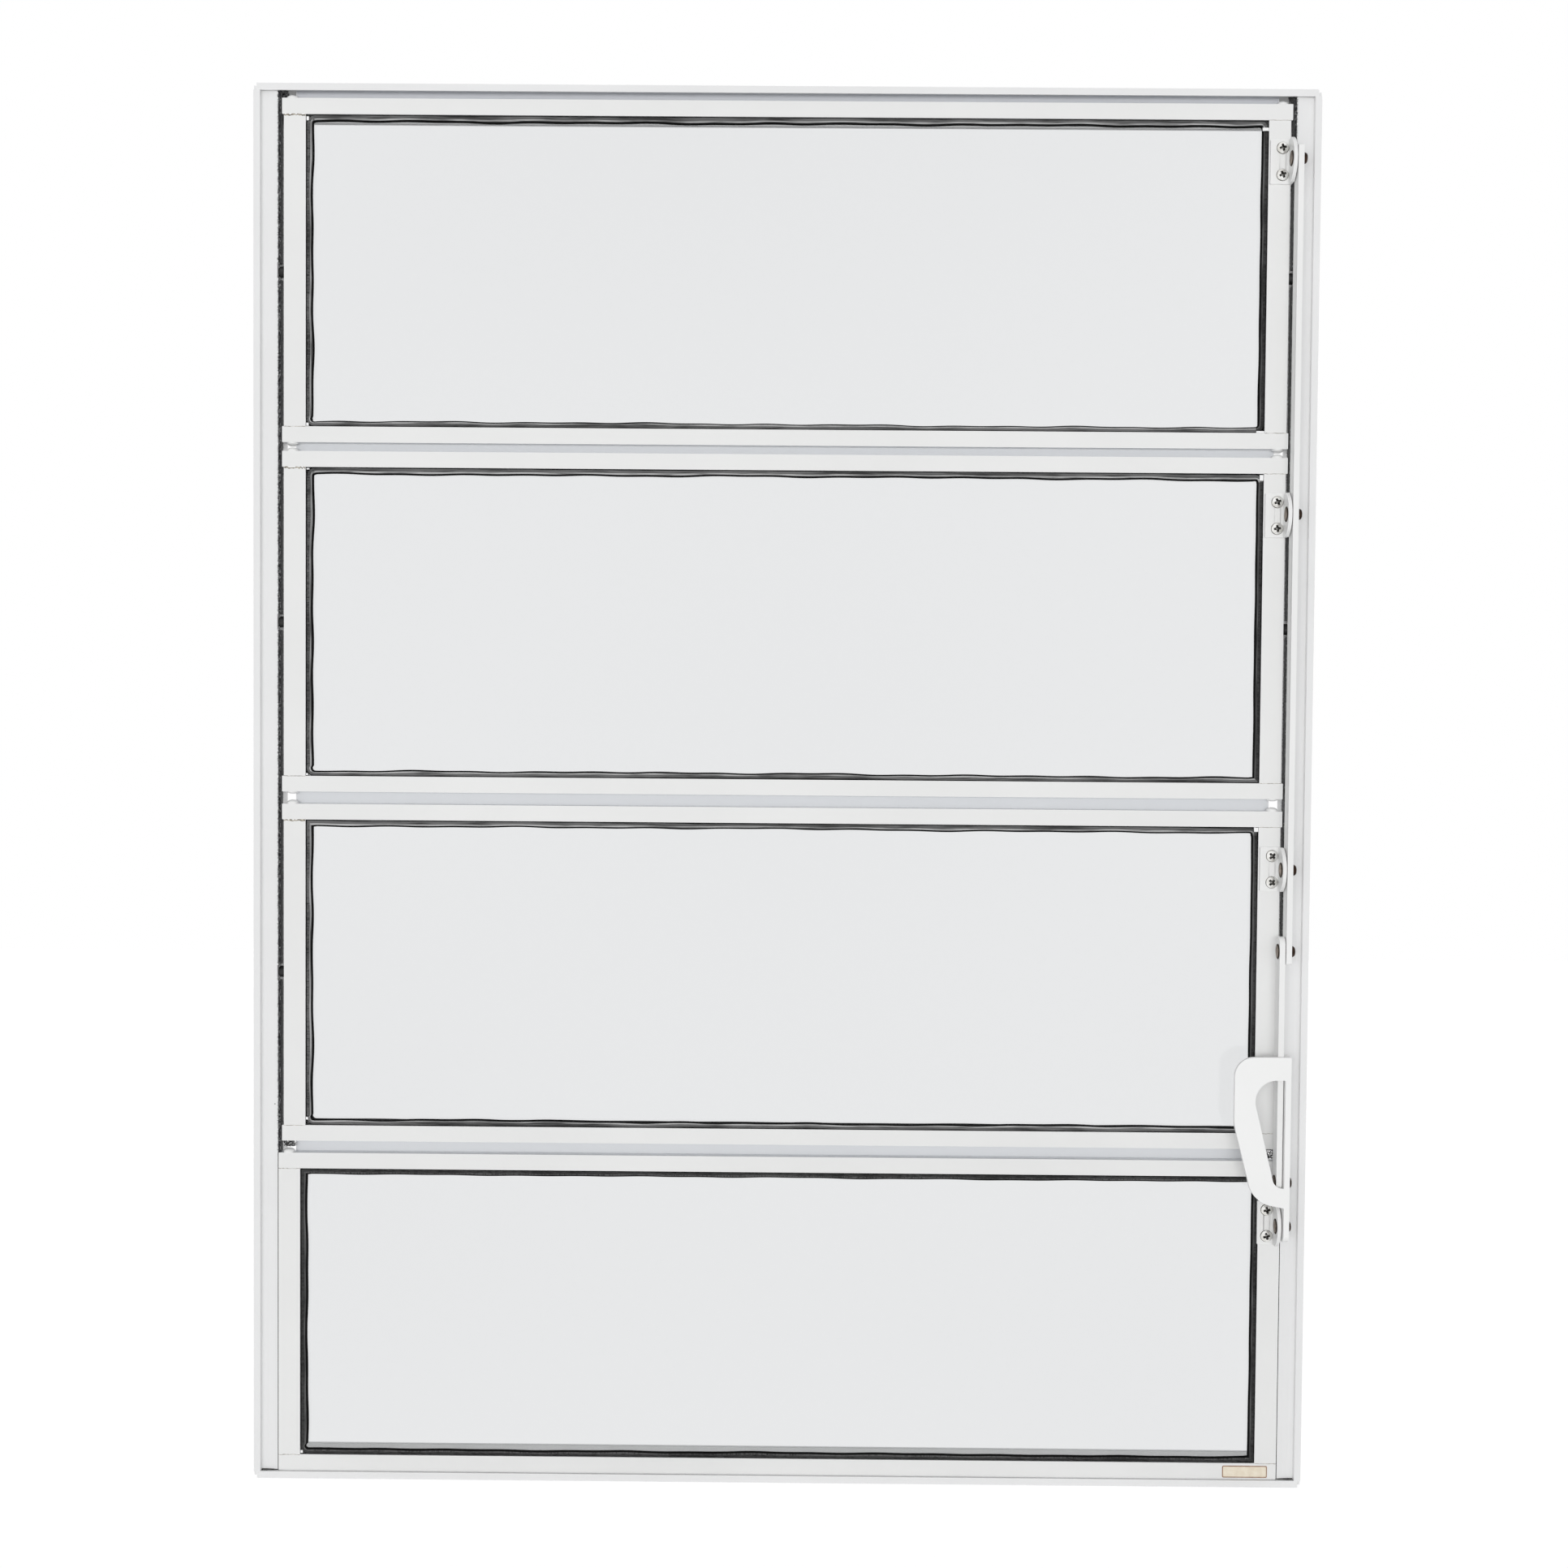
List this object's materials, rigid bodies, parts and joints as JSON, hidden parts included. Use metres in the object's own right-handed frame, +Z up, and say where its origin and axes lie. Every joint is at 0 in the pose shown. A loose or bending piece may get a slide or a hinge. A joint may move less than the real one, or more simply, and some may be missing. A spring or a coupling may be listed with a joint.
{
  "type": "aluminium pivot window",
  "caption": "White aluminium window with a column of pivoting glazed sashes above a fixed glazed panel, joined by an upright drive bar and worked by a lever with a D-shaped grip.",
  "frame": {"origin": "middle of the sill's flat underside", "axes": "+X to the right as seen from the room, -Y towards the room, where the lever is, +Z up"},
  "size_m": [0.6, 0.057, 0.793],
  "materials": {
    "white_aluminium": "white powder coat, satin",
    "glass": "clear",
    "gasket_rubber": "black, smooth",
    "brush_pile": "black and grey bristle",
    "pivot_nylon": "black",
    "rivet_steel": "darkened"
  },
  "bodies": {
    "root": {"brush_pile_left": "brush_pile", "brush_pile_right": "brush_pile", "drive_bar": "white_aluminium", "fixed_bottom_rail": "white_aluminium", "fixed_bracket": "white_aluminium", "fixed_gasket": "gasket_rubber", "fixed_glass": "glass", "fixed_stile_left": "white_aluminium", "fixed_stile_right": "white_aluminium", "fixed_top_rail": "white_aluminium", "frame_head": "white_aluminium", "frame_jamb_left": "white_aluminium", "frame_jamb_right": "white_aluminium", "frame_sill": "white_aluminium", "handle_lever": "white_aluminium", "lever_pivot_rivet": "rivet_steel", "link_bar": "white_aluminium", "link_rivets": "rivet_steel", "sash_1_bottom_rail": "white_aluminium", "sash_1_bracket": "white_aluminium", "sash_1_gasket": "gasket_rubber", "sash_1_glass": "glass", "sash_1_pivots": "pivot_nylon", "sash_1_stile_left": "white_aluminium", "sash_1_stile_right": "white_aluminium", "sash_1_top_rail": "white_aluminium", "sash_2_bottom_rail": "white_aluminium", "sash_2_bracket": "white_aluminium", "sash_2_gasket": "gasket_rubber", "sash_2_glass": "glass", "sash_2_pivots": "pivot_nylon", "sash_2_stile_left": "white_aluminium", "sash_2_stile_right": "white_aluminium", "sash_2_top_rail": "white_aluminium", "sash_3_bottom_rail": "white_aluminium", "sash_3_bracket": "white_aluminium", "sash_3_gasket": "gasket_rubber", "sash_3_glass": "glass", "sash_3_pivots": "pivot_nylon", "sash_3_stile_left": "white_aluminium", "sash_3_stile_right": "white_aluminium", "sash_3_top_rail": "white_aluminium", "sash_arm_rivets": "rivet_steel"}
  },
  "joints": []
}
